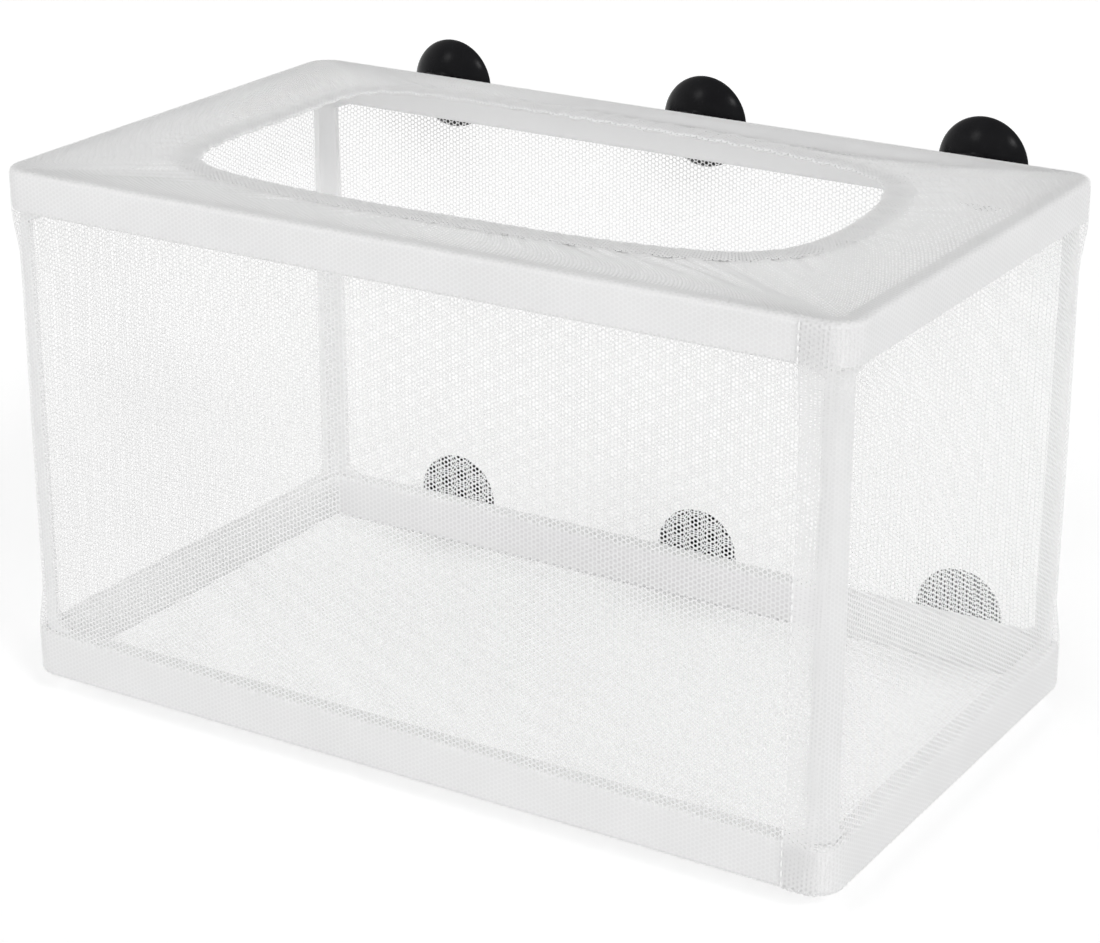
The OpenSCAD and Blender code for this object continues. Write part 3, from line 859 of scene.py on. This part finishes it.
def tintAndBump(tree, shader, dark, light, tintScale, bumpScale, strength, distance, detail=4.0):
    # uneven colour from a wide noise, fine relief from a close one
    where = addNode(tree, "ShaderNodeTexCoord")
    wide = addNode(tree, "ShaderNodeTexNoise", Scale=tintScale, Detail=3.0)
    close = addNode(tree, "ShaderNodeTexNoise", Scale=bumpScale, Detail=detail)
    ramp = addNode(tree, "ShaderNodeValToRGB")
    for stop, position, colour in zip(ramp.color_ramp.elements, (0.3, 0.7), (dark, light)):
        stop.position, stop.color = position, (*colour, 1)
    bump = addNode(tree, "ShaderNodeBump", Strength=strength, Distance=distance)
    tree.links.new(where.outputs["Object"], wide.inputs["Vector"])
    tree.links.new(where.outputs["Object"], close.inputs["Vector"])
    tree.links.new(wide.outputs["Fac"], ramp.inputs["Fac"])
    tree.links.new(ramp.outputs["Color"], shader.inputs["Base Color"])
    tree.links.new(close.outputs["Fac"], bump.inputs["Height"])
    tree.links.new(bump.outputs["Normal"], shader.inputs["Normal"])
    return close


def letLightThrough(tree, shader, share, colour):
    # thin thread passes part of the light from behind
    glow = addNode(tree, "ShaderNodeBsdfTranslucent", Color=(*colour, 1))
    mix = addNode(tree, "ShaderNodeMixShader")
    mix.inputs["Fac"].default_value = share
    tree.links.new(shader.outputs[0], mix.inputs[1])
    tree.links.new(glow.outputs[0], mix.inputs[2])
    tree.links.new(mix.outputs[0], tree.nodes["Material Output"].inputs["Surface"])


def netMaterial():
    material, tree, shader = newMaterial("knitted_net", (0.91, 0.91, 0.91), 0.62, Specular_IOR_Level=0.25)
    tintAndBump(tree, shader, (0.89, 0.89, 0.89), (0.93, 0.93, 0.93), 60, 5200, 0.35, 0.0001)
    letLightThrough(tree, shader, 0.4, (0.93, 0.93, 0.93))
    return material


# painted light: the hem is the same net as the walls', coloured lighter (0.94 against 0.91) to lift the shade
# inside its dense fold
def hemMaterial():
    material, tree, shader = newMaterial("gathered_hem_net", (0.94, 0.94, 0.94), 0.64,
                                         Specular_IOR_Level=0.25)
    tintAndBump(tree, shader, (0.92, 0.92, 0.92), (0.96, 0.96, 0.96), 240, 4600, 0.4, 0.0001)
    letLightThrough(tree, shader, 0.08, (0.93, 0.93, 0.93))
    return material


def elasticMaterial():
    material, tree, shader = newMaterial("woven_elastic", (0.90, 0.90, 0.90), 0.7)
    tintAndBump(tree, shader, (0.87, 0.87, 0.87), (0.92, 0.92, 0.92), 900, 3200, 0.4, 0.0002)
    return material


def threadMaterial():
    material, tree, shader = newMaterial("sewing_thread", (0.95, 0.95, 0.95), 0.45)
    tintAndBump(tree, shader, (0.93, 0.93, 0.93), (0.97, 0.97, 0.97), 700, 6000, 0.4, 0.0001)
    return material


def plasticMaterial():
    material, tree, shader = newMaterial("moulded_white_plastic", (0.86, 0.86, 0.86), 0.42)
    tintAndBump(tree, shader, (0.845, 0.845, 0.845), (0.87, 0.87, 0.87), 30, 900, 0.12, 0.0003)
    return material


def rubberMaterial():
    material, tree, shader = newMaterial("black_rubber", (0.005, 0.005, 0.006), 0.22, Specular_IOR_Level=0.09)
    close = tintAndBump(tree, shader, (0.003, 0.003, 0.004), (0.007, 0.007, 0.008), 120, 1400, 0.10, 0.0002)
    uneven = addNode(tree, "ShaderNodeMapRange")
    uneven.inputs["To Min"].default_value, uneven.inputs["To Max"].default_value = 0.18, 0.27
    tree.links.new(close.outputs["Fac"], uneven.inputs["Value"])
    tree.links.new(uneven.outputs["Result"], shader.inputs["Roughness"])
    return material


cloth, hemCloth, elasticStuff = netMaterial(), hemMaterial(), elasticMaterial()
thread, plastic, rubber = threadMaterial(), plasticMaterial(), rubberMaterial()

for name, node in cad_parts.items():
    if not any(word in name for word in ("rail", "joint")):
        continue
    if not node.material_slots:
        node.data.materials.append(None)
    for slot in node.material_slots:
        slot.link = "OBJECT"
        slot.material = plastic
print("materials made")


# every piece rides on its body, in the place of its CAD node
def dress(piece, material, slot, *nodes, body="box"):
    piece.data.materials.append(material)
    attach(piece, body)
    if nodes:
        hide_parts(*nodes)


for side, wall in walls.items():
    dress(wall, cloth, "net_cloth", "net_" + side)
dress(netFloor, cloth, "net_cloth", "net_floor")
dress(netCover, cloth, "net_cloth", "net_top")
dress(hemFold, hemCloth, "hem_cloth", "opening_hem")
dress(elasticBand, elasticStuff, "elastic", "elastic_band")
dress(seamStrip, cloth, "net_cloth")
for name, piece in posts.items():
    dress(piece, plastic, "frame_plastic", name)
for name, piece in cups.items():
    dress(piece, rubber, "cup_rubber", name, body=name)
for row in (hemThread, seamThread, floorThread):
    dress(row, thread, "hem_cloth")


# floor and light
studio = {
    "floorRadius": 6.0, "floorTone": 0.85,
    "floorGlow": 0.36,         # seen by the camera alone, so that the floor is as white as the backdrop
    "horizon": 1.90, "zenith": 0.0,    # strength of the white tent's light, low down and overhead
    # the soft lamps: how far round from the front, how high, how strong, and how wide in degrees
    "lights": {"key": (62, 40, 0.50, 14), "fill": (-35, 40, 0.2, 14)},
}


def seenStraight(tree):
    # 1 for what the camera sees, also through something clear or in something shiny, else 0
    path = addNode(tree, "ShaderNodeLightPath")
    seen = addNode(tree, "ShaderNodeMath", operation="MAXIMUM")
    seenAll = addNode(tree, "ShaderNodeMath", operation="MAXIMUM")
    tree.links.new(path.outputs["Is Camera Ray"], seen.inputs[0])
    tree.links.new(path.outputs["Is Transmission Ray"], seen.inputs[1])
    tree.links.new(seen.outputs[0], seenAll.inputs[0])
    tree.links.new(path.outputs["Is Glossy Ray"], seenAll.inputs[1])
    return seenAll.outputs[0]


def addFloor():
    count, radius = 96, studio["floorRadius"]
    angle = np.linspace(0, 2 * math.pi, count, endpoint=False)
    mesh = bpy.data.meshes.new("studio_floor")
    points = [(radius * math.cos(a), radius * math.sin(a), 0) for a in angle]
    mesh.from_pydata(points, [], [list(range(count))])
    floor = bpy.data.objects.new("studio_floor", mesh)
    bpy.context.collection.objects.link(floor)
    tone = studio["floorTone"]
    material, tree, shader = newMaterial("pale_floor", (tone, tone, tone), 0.9, Specular_IOR_Level=0.1)
    amount = addNode(tree, "ShaderNodeMath", operation="MULTIPLY")
    amount.inputs[1].default_value = studio["floorGlow"]
    glow = addNode(tree, "ShaderNodeEmission")
    both = addNode(tree, "ShaderNodeAddShader")
    tree.links.new(seenStraight(tree), amount.inputs[0])
    tree.links.new(amount.outputs[0], glow.inputs["Strength"])
    tree.links.new(shader.outputs[0], both.inputs[0])
    tree.links.new(glow.outputs[0], both.inputs[1])
    tree.links.new(both.outputs[0], tree.nodes["Material Output"].inputs["Surface"])
    mesh.materials.append(material)


def addLight(name, turn, height, strength, spread):
    lamp = bpy.data.objects.new(name, bpy.data.lights.new(name, "SUN"))
    lamp.data.energy = strength
    lamp.data.angle = math.radians(spread)
    turn, height = math.radians(turn), math.radians(height)
    away = Vector((math.sin(turn) * math.cos(height), -math.cos(turn) * math.cos(height), math.sin(height)))
    lamp.location = away * 2
    lamp.rotation_euler = away.to_track_quat("Z", "Y").to_euler()
    bpy.context.collection.objects.link(lamp)


def addSky():
    world = bpy.data.worlds.new("studio")
    bpy.context.scene.world = world
    world.use_nodes = True
    tree = world.node_tree
    tree.nodes.clear()
    lit = addNode(tree, "ShaderNodeBackground", Color=(1, 1, 1, 1))
    where = addNode(tree, "ShaderNodeTexCoord")
    parts = addNode(tree, "ShaderNodeSeparateXYZ")
    climb = addNode(tree, "ShaderNodeMapRange")
    climb.inputs["To Min"].default_value = studio["horizon"]
    climb.inputs["To Max"].default_value = studio["zenith"]
    tree.links.new(where.outputs["Generated"], parts.inputs["Vector"])
    tree.links.new(parts.outputs["Z"], climb.inputs["Value"])
    tree.links.new(climb.outputs["Result"], lit.inputs["Strength"])
    shown = addNode(tree, "ShaderNodeBackground", Color=(1, 1, 1, 1), Strength=1.0)
    mix = addNode(tree, "ShaderNodeMixShader")
    output = addNode(tree, "ShaderNodeOutputWorld")
    tree.links.new(seenStraight(tree), mix.inputs["Fac"])
    tree.links.new(lit.outputs[0], mix.inputs[1])
    tree.links.new(shown.outputs[0], mix.inputs[2])
    tree.links.new(mix.outputs[0], output.inputs["Surface"])


addFloor()
for lightName, settings in studio["lights"].items():
    addLight(lightName, *settings)
addSky()
bpy.context.scene.view_settings.view_transform = "Standard"
print("floor and light set")
